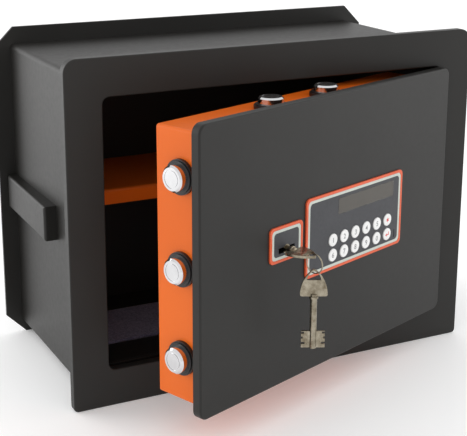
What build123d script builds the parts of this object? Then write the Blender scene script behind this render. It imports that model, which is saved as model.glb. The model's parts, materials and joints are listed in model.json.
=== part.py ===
"""Wall safe: a steel body with a wall flange, and a hinged door with motor and key driven bolts.

The safe stands upright and faces -Y, with +X to its right and +Z up. The origin is the centre of
the back plate's rear face. Lengths are in millimetres. The door is modelled partly open.
"""

from build123d import *
from math import acos, cos, pi, radians, sin, tan
import os

# ---------------------------------------------------------------- driving dimensions
WIDTH = 393.5
HEIGHT = 300.0
DEPTH = 194.5
FRAME_THICK = 8.0
BACK_THICK = 3.0
WALL = 3.0
SHEET = 1.5

# opening in the front frame, from the frame's left and bottom edges
OPENING_X = (32.0, 361.5)
OPENING_Z = (32.5, 267.6)
OPENING_RADIUS = 6.5

# outside of the body box behind the frame
BODY_X = (14.0, 379.5)
BODY_Z = (10.5, 284.5)
INSIDE_X = (BODY_X[0] + WALL, BODY_X[1] - WALL)
INSIDE_Z = (BODY_Z[0] + WALL, BODY_Z[1] - WALL)
BACK_FACE_Y = DEPTH - BACK_THICK

# door leaf, and where it stands when closed
LEAF_WIDTH = 328.2
LEAF_HEIGHT = 234.1
LEAF_THICK = 8.0
LEAF_RADIUS = 8.0
LEAF_CLOSED = (32.6, -3.0, 33.0)
DOOR_ANGLE = 20.6

# hinge line, from the frame's left edge and front face
HINGE_X = 371.5
HINGE_Y = 13.2
PIN_RADIUS = 2.5
EYE_RADIUS = 4.6
EYE_BORE = PIN_RADIUS + 0.05
ARM_HEIGHT = 30.0
ARM_ROOTS_Z = (25.0, 180.0)

# boltwork pan on the door's rear, in the door's own coordinates
PAN_X = (13.35, 316.0)
PAN_Z = (3.4, 224.3)
PAN_REAR_Y = 59.3
BOLT_RADIUS = 10.5
BOLT_LENGTH = 50.0
BOLT_Y = 32.0
LEFT_BOLTS_Z = (40.5, 114.0, 187.5)
TOP_BOLTS_X = (115.4, 186.4)
LEFT_BOLT_TIP_X = 2.4
TOP_BOLT_TIP_Z = 234.0
BAR_THICK = 4.0
BOLT_TRAVEL = 12.0

# key lock
KEY_X = 98.4
KEY_Z = 116.8
SHANK_RADIUS = 2.8
BARREL_RADIUS = 4.0
BIT_REACH = 9.5
BIT_THICK = 2.2
BIT_Y = (21.5, 35.5)
KEY_TIP_Y = 36.0
BOW_BASE_Y = -8.0
BOW_LENGTH = 23.0
BOW_HALF_WIDTH = 10.9
BOW_THICK = 2.2
BOW_WINDOW = (13.6, 21.0)
BOW_WINDOW_HALF = 5.6

# rack and pinion drive: half a turn of the key throws the bolts fully
TEETH = 12
PITCH = 2 * BOLT_TRAVEL / TEETH
MODULE = PITCH / pi
PITCH_RADIUS = MODULE * TEETH / 2
PRESSURE = radians(20)
BACKLASH = 0.12
MOTOR_FROM_KEY = 21
MOTOR_X = KEY_X + MOTOR_FROM_KEY * PITCH
LEFT_RACK_Y = (42.5, 45.5)
TOP_RACK_Y = (46.3, 49.3)

# keypad on the leaf's front
KEYPAD_X = (122.7, 257.0)
KEYPAD_Z = (83.6, 152.1)
BORDER = 2.4
TRIM = 2.6
BUTTON_RADIUS = 5.5
BUTTON_COLUMNS = 6
BUTTON_PITCH_X = 15.54
BUTTON_PITCH_Z = 13.3
FIRST_BUTTON = (158.4, 109.6)
BUTTON_NAMES = ("1", "2", "3", "4", "5", "star", "6", "7", "8", "9", "0", "enter")
WINDOW_X = (165.5, 243.7)
WINDOW_Z = (130.5, 144.2)

# key escutcheon
ESCUTCHEON_X = (77.9, 118.3)
ESCUTCHEON_Z = (107.3, 137.3)

# ---------------------------------------------------------------- frames and small helpers
# the body's own coordinates start at the frame's lower left front corner
BODY = Plane(origin=(-WIDTH / 2, -DEPTH, -HEIGHT / 2), x_dir=(1, 0, 0), z_dir=(0, 0, 1))


def door_frame():
    """The leaf's lower left front corner as it stands open, with x along the leaf."""
    turn = radians(DOOR_ANGLE)
    reach_x = LEAF_CLOSED[0] - HINGE_X
    reach_y = LEAF_CLOSED[1] - HINGE_Y
    corner_x = HINGE_X + reach_x * cos(turn) - reach_y * sin(turn)
    corner_y = HINGE_Y + reach_x * sin(turn) + reach_y * cos(turn)
    corner = BODY.from_local_coords(Vector(corner_x, corner_y, LEAF_CLOSED[2]))
    return Plane(origin=corner, x_dir=(cos(turn), sin(turn), 0), z_dir=(0, 0, 1))


DOOR = door_frame()
HINGE_IN_DOOR = (HINGE_X - LEAF_CLOSED[0], HINGE_Y - LEAF_CLOSED[1])


def facing_front(frame, depth):
    """A sketch plane at a depth: x to the right, y up, extruding towards the front."""
    origin = frame.from_local_coords(Vector(0, depth, 0))
    return Plane(origin=origin, x_dir=frame.x_dir, z_dir=-frame.y_dir)


def facing_right(frame, x):
    """A sketch plane across the frame: x runs back, y up, extruding to the right."""
    origin = frame.from_local_coords(Vector(x, 0, 0))
    return Plane(origin=origin, x_dir=frame.y_dir, z_dir=frame.x_dir)


def facing_up(frame, z):
    """A level sketch plane: x to the right, y back, extruding up."""
    origin = frame.from_local_coords(Vector(0, 0, z))
    return Plane(origin=origin, x_dir=frame.x_dir, z_dir=frame.z_dir)


def middle(span):
    return (span[0] + span[1]) / 2


def length(span):
    return span[1] - span[0]


def inset(span, amount):
    return (span[0] + amount, span[1] - amount)


def block(frame, x, y, z, mode=Mode.ADD):
    """A box between two corners, given as three spans in a frame's own coordinates."""
    with BuildSketch(facing_up(frame, z[0])) as profile:
        with Locations((middle(x), middle(y))):
            Rectangle(length(x), length(y))
    extrude(profile.sketch, amount=length(z), mode=mode)


def rounded_plate(frame, x, z, radius, y, mode=Mode.ADD):
    """An upright plate with rounded corners between two depths."""
    with BuildSketch(facing_front(frame, y[1])) as profile:
        with Locations((middle(x), middle(z))):
            RectangleRounded(length(x), length(z), radius)
    extrude(profile.sketch, amount=length(y), mode=mode)


def discs(plane, centres, radius, amount, mode=Mode.ADD):
    """Cylinders that start on a plane and run along its normal."""
    with BuildSketch(plane) as profile:
        with Locations(*centres):
            Circle(radius)
    extrude(profile.sketch, amount=amount, mode=mode)


def save(piece, label):
    piece.part.label = label
    export_step(piece.part, f"parts/{label}.step")


os.makedirs("parts", exist_ok=True)

# ---------------------------------------------------------------- steel body
TOP_CORNER = 11.5
BOTTOM_CORNER = 4.0
FRAME_EASE = 1.0
SHELL_RADIUS = 4.5
SHELL_BEND = 1.5
with BuildPart() as front_frame:
    with BuildSketch(facing_front(BODY, FRAME_THICK)) as outline:
        with Locations((WIDTH / 2, HEIGHT / 2)):
            Rectangle(WIDTH, HEIGHT)
        fillet(outline.vertices().group_by(Axis.Y)[-1], TOP_CORNER)
        fillet(outline.vertices().group_by(Axis.Y)[0], BOTTOM_CORNER)
        with Locations((middle(OPENING_X), middle(OPENING_Z))):
            RectangleRounded(length(OPENING_X), length(OPENING_Z), OPENING_RADIUS, mode=Mode.SUBTRACT)
    extrude(amount=FRAME_THICK)
    fillet(front_frame.faces().sort_by(Axis.Y)[0].edges(), FRAME_EASE)
save(front_frame, "front_frame")

with BuildPart() as body_shell:
    shell_y = (FRAME_THICK, BACK_FACE_Y)
    rounded_plate(BODY, BODY_X, BODY_Z, SHELL_RADIUS, shell_y)
    rounded_plate(BODY, INSIDE_X, INSIDE_Z, SHELL_BEND, shell_y, Mode.SUBTRACT)
save(body_shell, "body_shell")

FLANGE_OVER = 1.3
FLANGE_CUT = 18.8
WALL_HOLE_RADIUS = 6.5
WALL_HOLES = (300.0, 100.0)
with BuildPart() as back_plate:
    with BuildSketch(facing_front(BODY, DEPTH)) as outline:
        with Locations((WIDTH / 2, HEIGHT / 2)):
            Rectangle(WIDTH + 2 * FLANGE_OVER, HEIGHT)
        chamfer(outline.vertices(), FLANGE_CUT)
        with Locations((WIDTH / 2, HEIGHT / 2)):
            with GridLocations(*WALL_HOLES, 2, 2):
                Circle(WALL_HOLE_RADIUS, mode=Mode.SUBTRACT)
    extrude(amount=BACK_THICK)
save(back_plate, "back_plate")

# anchor lugs: solid steel bars with rounded edges, welded to both sides
LUG_Z = (130.0, 161.0)
LUG_Y = (72.0, 188.0)
LUG_FRONT_OUT = 11.4
LUG_REAR_OUT = 9.0
LUG_EASE = 2.2


def anchor_lug(side_x, outward):
    front_x = side_x + outward * LUG_FRONT_OUT
    rear_x = side_x + outward * LUG_REAR_OUT
    with BuildPart() as lug:
        with BuildSketch(facing_up(BODY, LUG_Z[0])):
            with BuildLine():
                Polyline(
                    (side_x, LUG_Y[0]),
                    (front_x, LUG_Y[0]),
                    (rear_x, LUG_Y[1]),
                    (side_x, LUG_Y[1]),
                    close=True,
                )
            make_face()
        extrude(amount=length(LUG_Z))
        outer = lug.faces().sort_by(Axis.X)[0 if outward < 0 else -1]
        fillet(outer.edges(), LUG_EASE)
    return lug


save(anchor_lug(BODY_X[0], -1), "left_anchor_lug")
save(anchor_lug(BODY_X[1], 1), "right_anchor_lug")

# ---------------------------------------------------------------- inside the body
SHELF_TOP = 165.0
SHELF_LIP = 13.6
SHELF_Y = (85.5, 191.2)
SIDE_GAP = 0.3
SHELF_BEND = 2.2
with BuildPart() as shelf:
    with BuildSketch(facing_right(BODY, INSIDE_X[0] + SIDE_GAP)):
        with BuildLine() as bend:
            FilletPolyline(
                (SHELF_Y[0] + SHEET / 2, SHELF_TOP - SHELF_LIP),
                (SHELF_Y[0] + SHEET / 2, SHELF_TOP - SHEET / 2),
                (SHELF_Y[1], SHELF_TOP - SHEET / 2),
                radius=SHELF_BEND,
            )
        trace(bend.line, SHEET)
    extrude(amount=length(INSIDE_X) - 2 * SIDE_GAP)
save(shelf, "shelf")

LEDGE_REACH = 12.0
LEDGE_DROP = 18.0
LEDGE_Y = (96.0, 182.0)
with BuildPart() as shelf_ledges:
    ledge_top = SHELF_TOP - SHEET
    for wall_x, inward in ((INSIDE_X[0], 1), (INSIDE_X[1], -1)):
        flat = sorted((wall_x, wall_x + inward * LEDGE_REACH))
        upright = sorted((wall_x, wall_x + inward * SHEET))
        block(BODY, flat, LEDGE_Y, (ledge_top - SHEET, ledge_top))
        block(BODY, upright, LEDGE_Y, (ledge_top - LEDGE_DROP, ledge_top - SHEET))
save(shelf_ledges, "shelf_ledges")

TRAY_TOP = 21.5
TRAY_Y = (13.0, 191.2)
TRAY_HEM = 6.0
TRAY_RAILS_Y = (40.0, 180.0)
TRAY_BEND = 1.8
RAIL_INSET = 8.0
with BuildPart() as floor_tray:
    hem_z = OPENING_Z[0] - SHEET / 2
    fold_y = TRAY_Y[0] + TRAY_HEM - SHEET / 2
    with BuildSketch(facing_right(BODY, INSIDE_X[0] + SIDE_GAP)):
        with BuildLine() as bend:
            FilletPolyline(
                (TRAY_Y[0], hem_z),
                (fold_y, hem_z),
                (fold_y, TRAY_TOP - SHEET / 2),
                (TRAY_Y[1], TRAY_TOP - SHEET / 2),
                radius=TRAY_BEND,
            )
        trace(bend.line, SHEET)
    extrude(amount=length(INSIDE_X) - 2 * SIDE_GAP)
    for rail_y in TRAY_RAILS_Y:
        rail = (rail_y, rail_y + 2 * SHEET)
        block(BODY, inset(INSIDE_X, RAIL_INSET), rail, (INSIDE_Z[0], TRAY_TOP - SHEET))
save(floor_tray, "floor_tray")

MAT_X = (45.0, 349.0)
MAT_Y = (75.0, 150.0)
MAT_THICK = 2.5
MAT_CORNER = 3.0
with BuildPart() as floor_mat:
    block(BODY, MAT_X, MAT_Y, (TRAY_TOP, TRAY_TOP + MAT_THICK))
    fillet(floor_mat.edges().filter_by(Axis.Z), MAT_CORNER)
save(floor_mat, "floor_mat")

KEEPER_Y = (FRAME_THICK, 17.4)
SIDE_KEEPER_X = (INSIDE_X[0], 31.5)
SIDE_KEEPER_Z = (45.0, 255.0)
TOP_KEEPER_X = (120.0, 250.0)
TOP_KEEPER_Z = (268.4, INSIDE_Z[1])
with BuildPart() as keeper_bars:
    block(BODY, SIDE_KEEPER_X, KEEPER_Y, SIDE_KEEPER_Z)
    block(BODY, TOP_KEEPER_X, KEEPER_Y, TOP_KEEPER_Z)
save(keeper_bars, "keeper_bars")

# ---------------------------------------------------------------- hinges
HINGE_EYES_Z = [LEAF_CLOSED[2] + root for root in ARM_ROOTS_Z]
EYE_GAP = 0.4
BRACKET_THICK = 6.0
BRACKET_X = (366.2, INSIDE_X[1])
BRACKET_Y = (FRAME_THICK, 20.5)
PIN_FIT = 0.02
with BuildPart() as hinge_brackets:
    for eye_z in HINGE_EYES_Z:
        low = eye_z - EYE_GAP - BRACKET_THICK
        high = eye_z + ARM_HEIGHT + EYE_GAP
        for root_z in (low, high):
            block(BODY, BRACKET_X, BRACKET_Y, (root_z, root_z + BRACKET_THICK))
            centre = [(HINGE_X, HINGE_Y)]
            discs(facing_up(BODY, root_z), centre, PIN_RADIUS + PIN_FIT, BRACKET_THICK, Mode.SUBTRACT)
save(hinge_brackets, "hinge_brackets")

PIN_OVER = 2.0
PIN_EASE = 0.5
with BuildPart() as hinge_pins:
    for eye_z in HINGE_EYES_Z:
        reach = EYE_GAP + BRACKET_THICK + PIN_OVER
        base = facing_up(BODY, eye_z - reach)
        discs(base, [(HINGE_X, HINGE_Y)], PIN_RADIUS, ARM_HEIGHT + 2 * reach)
    fillet(hinge_pins.edges().filter_by(GeomType.CIRCLE), PIN_EASE)
save(hinge_pins, "hinge_pins")

ARM_THICK = 5.0
ARM_BEND_Y = 47.0
ARM_BEND = 5.0
ARM_OFFSET = 1.5
with BuildPart() as hinge_arms:
    eye_x, eye_y = HINGE_IN_DOOR
    for root_z in ARM_ROOTS_Z:
        with BuildSketch(facing_up(DOOR, root_z)):
            with BuildLine() as neck:
                FilletPolyline(
                    (PAN_X[1], ARM_BEND_Y - ARM_THICK / 2),
                    (eye_x - ARM_OFFSET, ARM_BEND_Y - ARM_THICK / 2),
                    (eye_x - ARM_OFFSET, eye_y),
                    radius=ARM_BEND,
                )
            trace(neck.line, ARM_THICK)
            with Locations((eye_x, eye_y)):
                Circle(EYE_RADIUS)
                Circle(EYE_BORE, mode=Mode.SUBTRACT)
        extrude(amount=ARM_HEIGHT)
save(hinge_arms, "hinge_arms")

STILE_X = (304.0, PAN_X[1] - SHEET)
STILE_Y = (LEAF_THICK, 50.0)
STILE_Z = (18.0, 212.0)
with BuildPart() as hinge_stile:
    block(DOOR, STILE_X, STILE_Y, STILE_Z)
save(hinge_stile, "hinge_stile")

# ---------------------------------------------------------------- door leaf
RELIEF = 5.8
POCKET_X = (126.0, 253.7)
POCKET_Z = (87.0, 148.7)
POCKET_DEPTH = 5.0
KEY_SLOT_HALF = 9.9
KEY_SLOT_THICK = 4.8
KEY_SLOT_GAP = 0.1
LEAF_EASE = 1.6
CABLE_HOLE = (245.0, 118.0)
CABLE_HOLE_RADIUS = 4.0


def keyhole(y, round_radius, mode=Mode.SUBTRACT):
    """A double-bit keyhole: a round hole with a slot on each side, between two depths."""
    with BuildSketch(facing_front(DOOR, y[1])) as profile:
        with Locations((KEY_X, KEY_Z)):
            Circle(round_radius)
            Rectangle(2 * KEY_SLOT_HALF, KEY_SLOT_THICK)
    extrude(profile.sketch, amount=length(y), mode=mode)


with BuildPart() as door_leaf:
    rounded_plate(DOOR, (0, LEAF_WIDTH), (0, LEAF_HEIGHT), LEAF_RADIUS, (0, LEAF_THICK))
    fillet(door_leaf.faces().sort_by(Axis(DOOR.origin, DOOR.y_dir))[0].edges(), LEAF_EASE)
    with BuildSketch(facing_up(DOOR, -1)):
        with BuildLine():
            Polyline(
                (LEAF_WIDTH + 1, LEAF_THICK - RELIEF - 1),
                (LEAF_WIDTH + 1, LEAF_THICK + 1),
                (LEAF_WIDTH - RELIEF - 1, LEAF_THICK + 1),
                close=True,
            )
        make_face()
    extrude(amount=LEAF_HEIGHT + 2, mode=Mode.SUBTRACT)
    block(DOOR, POCKET_X, (-1, POCKET_DEPTH), POCKET_Z, Mode.SUBTRACT)
    rear = facing_front(DOOR, LEAF_THICK)
    discs(rear, [CABLE_HOLE], CABLE_HOLE_RADIUS, LEAF_THICK, Mode.SUBTRACT)
    keyhole((0, LEAF_THICK), BARREL_RADIUS + KEY_SLOT_GAP)
save(door_leaf, "door_leaf")

# ---------------------------------------------------------------- boltwork pan and rear cover
COLLAR_SLEEVE = 12.8
SCREW_X = (22.0, middle(PAN_X), PAN_X[1] - 8.65)
SCREW_Z = (PAN_Z[0] + 8.4, PAN_Z[1] - 8.4)
SCREWS = [(x, z) for x in SCREW_X for z in SCREW_Z]
SCREW_RADIUS = 1.9
COVER_RIM = 12.0
PAN_FOLD = 2.5
PAN_EASE = 1.4
PAN_INNER_RADIUS = 1.0
RIM_RADIUS = 4.0
SLEEVE_FIT = 0.05
with BuildPart() as door_pan:
    rounded_plate(DOOR, PAN_X, PAN_Z, PAN_FOLD, (LEAF_THICK, PAN_REAR_Y))
    fillet(door_pan.faces().sort_by(Axis(DOOR.origin, DOOR.y_dir))[-1].edges(), PAN_EASE)
    hollow_x = inset(PAN_X, SHEET)
    hollow_z = inset(PAN_Z, SHEET)
    hollow_y = (LEAF_THICK, PAN_REAR_Y - SHEET)
    rounded_plate(DOOR, hollow_x, hollow_z, PAN_INNER_RADIUS, hollow_y, Mode.SUBTRACT)
    window_x = inset(PAN_X, COVER_RIM)
    window_z = inset(PAN_Z, COVER_RIM)
    window_y = (PAN_REAR_Y - 2 * SHEET, PAN_REAR_Y + 1)
    rounded_plate(DOOR, window_x, window_z, RIM_RADIUS, window_y, Mode.SUBTRACT)
    left_holes = [(BOLT_Y, z) for z in LEFT_BOLTS_Z]
    discs(facing_right(DOOR, PAN_X[0] - 1), left_holes, COLLAR_SLEEVE + SLEEVE_FIT, 4, Mode.SUBTRACT)
    top_holes = [(x, BOLT_Y) for x in TOP_BOLTS_X]
    discs(facing_up(DOOR, PAN_Z[1] - 3), top_holes, COLLAR_SLEEVE + SLEEVE_FIT, 4, Mode.SUBTRACT)
    discs(facing_front(DOOR, PAN_REAR_Y), SCREWS, SCREW_RADIUS, SHEET, Mode.SUBTRACT)
save(door_pan, "door_pan")

BATTERY_X = (180.0, 262.0)
BATTERY_Z = (20.0, 86.0)
HATCH_INSET = 4.0
HATCH_RADIUS = 3.0
HATCH_X = inset(BATTERY_X, HATCH_INSET)
HATCH_Z = inset(BATTERY_Z, HATCH_INSET)
COVER_INSET = 4.5
COVER_RADIUS = 5.0
COVER_EASE = 0.8
COVER_X = inset(PAN_X, COVER_INSET)
COVER_Z = inset(PAN_Z, COVER_INSET)
SCREW_FIT = 0.1
with BuildPart() as rear_cover:
    rounded_plate(DOOR, COVER_X, COVER_Z, COVER_RADIUS, (PAN_REAR_Y, PAN_REAR_Y + SHEET))
    fillet(rear_cover.faces().sort_by(Axis(DOOR.origin, DOOR.y_dir))[-1].edges(), COVER_EASE)
    through = (PAN_REAR_Y - 1, PAN_REAR_Y + SHEET + 1)
    rounded_plate(DOOR, HATCH_X, HATCH_Z, HATCH_RADIUS, through, Mode.SUBTRACT)
    rear = facing_front(DOOR, through[1])
    discs(rear, SCREWS, SCREW_RADIUS + SCREW_FIT, length(through), Mode.SUBTRACT)
save(rear_cover, "rear_cover")

HEAD_RADIUS = 3.6
HEAD_HEIGHT = 1.6
HEAD_EASE = 0.9
CROSS_REACH = 4.2
CROSS_WIDTH = 0.8
with BuildPart() as cover_screws:
    head_top = PAN_REAR_Y + SHEET + HEAD_HEIGHT
    discs(facing_front(DOOR, head_top), SCREWS, HEAD_RADIUS, HEAD_HEIGHT)
    heads = cover_screws.faces().sort_by(Axis(DOOR.origin, DOOR.y_dir))[-len(SCREWS):]
    fillet(heads.edges(), HEAD_EASE)
    discs(facing_front(DOOR, PAN_REAR_Y + SHEET), SCREWS, SCREW_RADIUS, 2 * SHEET)
    with BuildSketch(facing_front(DOOR, head_top)):
        with Locations(*SCREWS):
            Rectangle(CROSS_REACH, CROSS_WIDTH)
            Rectangle(CROSS_WIDTH, CROSS_REACH)
    extrude(amount=HEAD_EASE, mode=Mode.SUBTRACT)
save(cover_screws, "cover_screws")

# ---------------------------------------------------------------- bolts, collars and guides
COLLAR_RADIUS = 14.0
COLLAR_STAND = 4.0
COLLAR_STEP = 1.2
COLLAR_LIP = 1.3
COLLAR_BORE = BOLT_RADIUS + 0.06
SLEEVE_DEPTH = 5.0


def collar(plane, centres, wall_at, outward):
    """Plastic bushes: a stepped flange outside the pan's wall and a sleeve through it."""
    discs(plane(wall_at), centres, COLLAR_SLEEVE, -outward * SLEEVE_DEPTH)
    step = COLLAR_STAND - COLLAR_STEP
    discs(plane(wall_at), centres, COLLAR_RADIUS, outward * step)
    discs(plane(wall_at + outward * step), centres, COLLAR_RADIUS - COLLAR_LIP, outward * COLLAR_STEP)
    start = wall_at - outward * (SLEEVE_DEPTH + 1)
    depth = SLEEVE_DEPTH + COLLAR_STAND + 2
    discs(plane(start), centres, COLLAR_BORE, outward * depth, Mode.SUBTRACT)


with BuildPart() as bolt_collars:
    collar(lambda x: facing_right(DOOR, x), left_holes, PAN_X[0], -1)
    collar(lambda z: facing_up(DOOR, z), top_holes, PAN_Z[1], 1)
save(bolt_collars, "bolt_collars")

GUIDE_THICK = 3.0
GUIDE_Y = (LEAF_THICK, 54.0)
LEFT_GUIDE_X = 34.0
TOP_GUIDE_Z = 199.0
LEFT_GUIDE_Z = (14.0, 214.0)
TOP_GUIDE_X = (96.0, 206.0)
with BuildPart() as bolt_guides:
    block(DOOR, (LEFT_GUIDE_X, LEFT_GUIDE_X + GUIDE_THICK), GUIDE_Y, LEFT_GUIDE_Z)
    discs(facing_right(DOOR, LEFT_GUIDE_X), left_holes, COLLAR_BORE, GUIDE_THICK, Mode.SUBTRACT)
    block(DOOR, TOP_GUIDE_X, GUIDE_Y, (TOP_GUIDE_Z, TOP_GUIDE_Z + GUIDE_THICK))
    discs(facing_up(DOOR, TOP_GUIDE_Z), top_holes, COLLAR_BORE, GUIDE_THICK, Mode.SUBTRACT)
save(bolt_guides, "bolt_guides")

TIP_CHAMFER = 1.4
TIP_RING = (6.6, 7.3)
TIP_RING_DEPTH = 0.4


def tip_ring(tip, centres):
    """A shallow turned ring on each bolt's end face, cut along the plane's normal."""
    discs(tip, centres, TIP_RING[1], TIP_RING_DEPTH, Mode.SUBTRACT)
    discs(tip, centres, TIP_RING[0], TIP_RING_DEPTH)


with BuildPart() as left_bolts:
    discs(facing_right(DOOR, LEFT_BOLT_TIP_X), left_holes, BOLT_RADIUS, BOLT_LENGTH)
    tips = left_bolts.faces().filter_by(GeomType.PLANE).sort_by(Axis(DOOR.origin, DOOR.x_dir))[:3]
    chamfer(tips.edges(), TIP_CHAMFER)
    tip_ring(facing_right(DOOR, LEFT_BOLT_TIP_X), left_holes)
save(left_bolts, "left_bolts")

with BuildPart() as top_bolts:
    discs(facing_up(DOOR, TOP_BOLT_TIP_Z - BOLT_LENGTH), top_holes, BOLT_RADIUS, BOLT_LENGTH)
    tips = top_bolts.faces().filter_by(GeomType.PLANE).sort_by(Axis.Z)[-2:]
    chamfer(tips.edges(), TIP_CHAMFER)
    upper = facing_up(DOOR, TOP_BOLT_TIP_Z - TIP_RING_DEPTH)
    tip_ring(upper, top_holes)
save(top_bolts, "top_bolts")

# ---------------------------------------------------------------- rack and pinion drive
RACK_ADDENDUM = 0.68 * MODULE
RACK_DEDENDUM = 1.2 * MODULE
PINION_ADDENDUM = 0.9 * MODULE
PINION_DEDENDUM = 1.15 * MODULE
RACK_BACK = 5.5
LEFT_RACK_TEETH = 35
LEFT_RACK_BEFORE_KEY = 4
TOP_RACK_TEETH = 14
TOP_RACK_BELOW_KEY = 10
DRIVE_PINION_Y = (42.2, 49.6)
MOTOR_PINION_Y = (42.4, 45.6)
SHAFT_FIT = 0.02


def involute(angle):
    return tan(angle) - angle


def pinion_points(centre):
    """The outline of an involute pinion with one tooth pointing along +x."""
    base = PITCH_RADIUS * cos(PRESSURE)
    tip = PITCH_RADIUS + PINION_ADDENDUM
    half_tooth = pi / (2 * TEETH) - BACKLASH / (2 * PITCH_RADIUS)
    steps = [base + (tip - base) * k / 5 for k in range(6)]
    flank = [(PITCH_RADIUS - PINION_DEDENDUM, half_tooth + involute(PRESSURE))]
    flank += [(r, half_tooth + involute(PRESSURE) - involute(acos(base / r))) for r in steps]
    points = []
    for tooth in range(TEETH):
        axis = 2 * pi * tooth / TEETH
        side = [(r, axis - a) for r, a in flank]
        other = [(r, axis + a) for r, a in reversed(flank)]
        points += [(centre[0] + r * cos(a), centre[1] + r * sin(a)) for r, a in side + other]
    return points


def rack_points(first, count, phase):
    """Rack teeth as (along, height) steps, where height 0 is the pitch line."""
    half = PITCH / 4 - BACKLASH / 2
    lean = tan(PRESSURE)
    points = []
    for tooth in range(count):
        at = first + (tooth + phase) * PITCH
        root = half + RACK_DEDENDUM * lean
        crest = half - RACK_ADDENDUM * lean
        points += [(at - root, RACK_DEDENDUM), (at - crest, -RACK_ADDENDUM)]
        points += [(at + crest, -RACK_ADDENDUM), (at + root, RACK_DEDENDUM)]
    return points


def pinion(centre, y, bore):
    with BuildPart() as gear:
        with BuildSketch(facing_front(DOOR, y[1])):
            with BuildLine():
                Polyline(*pinion_points(centre), close=True)
            make_face()
            with Locations(centre):
                Circle(bore, mode=Mode.SUBTRACT)
        extrude(amount=length(y))
    return gear


STUB_RADIUS = 1.9
MOTOR_SHAFT = 1.5
save(pinion((KEY_X, KEY_Z), DRIVE_PINION_Y, STUB_RADIUS + SHAFT_FIT), "drive_pinion")
save(pinion((MOTOR_X, KEY_Z), MOTOR_PINION_Y, MOTOR_SHAFT + SHAFT_FIT), "motor_pinion")

BAR_FRONT_Y = 21.5
LEFT_BAR_Z = (28.0, 202.0)
TOP_BAR_X = (100.0, 202.0)
LEFT_BAR_X = (LEFT_BOLT_TIP_X + BOLT_LENGTH, LEFT_BOLT_TIP_X + BOLT_LENGTH + BAR_THICK)
with BuildPart() as left_bolt_bar:
    block(DOOR, LEFT_BAR_X, (BAR_FRONT_Y, LEFT_RACK_Y[1]), LEFT_BAR_Z)
    pitch_line = KEY_Z + PITCH_RADIUS
    teeth = rack_points(KEY_X - LEFT_RACK_BEFORE_KEY * PITCH, LEFT_RACK_TEETH, 0.5)
    back = pitch_line + RACK_DEDENDUM + RACK_BACK
    with BuildSketch(facing_front(DOOR, LEFT_RACK_Y[1])):
        with BuildLine():
            Polyline(
                (LEFT_BAR_X[1], pitch_line + RACK_DEDENDUM),
                *[(along, pitch_line + height) for along, height in teeth],
                (teeth[-1][0], back),
                (LEFT_BAR_X[1], back),
                close=True,
            )
        make_face()
    extrude(amount=length(LEFT_RACK_Y))
save(left_bolt_bar, "left_bolt_bar")

TOP_BAR_Z = (TOP_BOLT_TIP_Z - BOLT_LENGTH - BAR_THICK, TOP_BOLT_TIP_Z - BOLT_LENGTH)
with BuildPart() as top_bolt_bar:
    block(DOOR, TOP_BAR_X, (BAR_FRONT_Y, TOP_RACK_Y[1]), TOP_BAR_Z)
    pitch_line = KEY_X + PITCH_RADIUS
    teeth = rack_points(KEY_Z - TOP_RACK_BELOW_KEY * PITCH, TOP_RACK_TEETH, 0.5)
    back = pitch_line + RACK_DEDENDUM + RACK_BACK
    with BuildSketch(facing_front(DOOR, TOP_RACK_Y[1])):
        with BuildLine():
            Polyline(
                (back, teeth[0][0]),
                *[(pitch_line + height, along) for along, height in teeth],
                (pitch_line + RACK_DEDENDUM, TOP_BAR_Z[0]),
                (back, TOP_BAR_Z[0]),
                close=True,
            )
        make_face()
    extrude(amount=length(TOP_RACK_Y))
save(top_bolt_bar, "top_bolt_bar")

# ---------------------------------------------------------------- key lock
CASE_X = (70.0, 128.0)
CASE_Z = (90.0, 145.0)
CASE_Y = (LEAF_THICK, 39.5)
CASE_WALL = 2.0
STUB_GAP = 0.06
with BuildPart() as lock_case:
    block(DOOR, CASE_X, CASE_Y, CASE_Z)
    hollow = (inset(CASE_X, CASE_WALL), (CASE_Y[0] + CASE_WALL, CASE_Y[1]), inset(CASE_Z, CASE_WALL))
    block(DOOR, *hollow, Mode.SUBTRACT)
    keyhole((CASE_Y[0], CASE_Y[0] + CASE_WALL), BARREL_RADIUS + KEY_SLOT_GAP)
save(lock_case, "lock_case")

with BuildPart() as lock_cover:
    block(DOOR, CASE_X, (CASE_Y[1], CASE_Y[1] + CASE_WALL), CASE_Z)
    key_axis = [(KEY_X, KEY_Z)]
    rear = facing_front(DOOR, CASE_Y[1] + CASE_WALL)
    discs(rear, key_axis, STUB_RADIUS + STUB_GAP, CASE_WALL, Mode.SUBTRACT)
save(lock_cover, "lock_cover")

LEVER_THICK = 2.2
LEVER_COUNT = 4
LEVER_SPACING = 3.2
LEVER_FIRST_Y = 21.5
LEVER_X = (73.5, 124.5)
LEVER_BOTTOM_Z = 94.0
LEVER_TOP_Z = 140.5
LEVER_STAGGER = 0.8
LEVER_PIVOT = (78.0, 136.0)
LEVER_PIVOT_RADIUS = 2.0
LEVER_PIVOT_Y = (CASE_Y[0] + CASE_WALL, 38.0)
BIT_CLEARANCE = 1.2
with BuildPart() as lock_levers:
    for level in range(LEVER_COUNT):
        lever_y = LEVER_FIRST_Y + LEVER_SPACING * level
        lever_z = (LEVER_BOTTOM_Z + LEVER_STAGGER * level, LEVER_TOP_Z)
        block(DOOR, LEVER_X, (lever_y, lever_y + LEVER_THICK), lever_z)
    deep = facing_front(DOOR, LEVER_PIVOT_Y[1])
    discs(deep, key_axis, BIT_REACH + BIT_CLEARANCE, length(LEVER_PIVOT_Y), Mode.SUBTRACT)
    discs(deep, [LEVER_PIVOT], LEVER_PIVOT_RADIUS, length(LEVER_PIVOT_Y))
save(lock_levers, "lock_levers")

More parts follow.
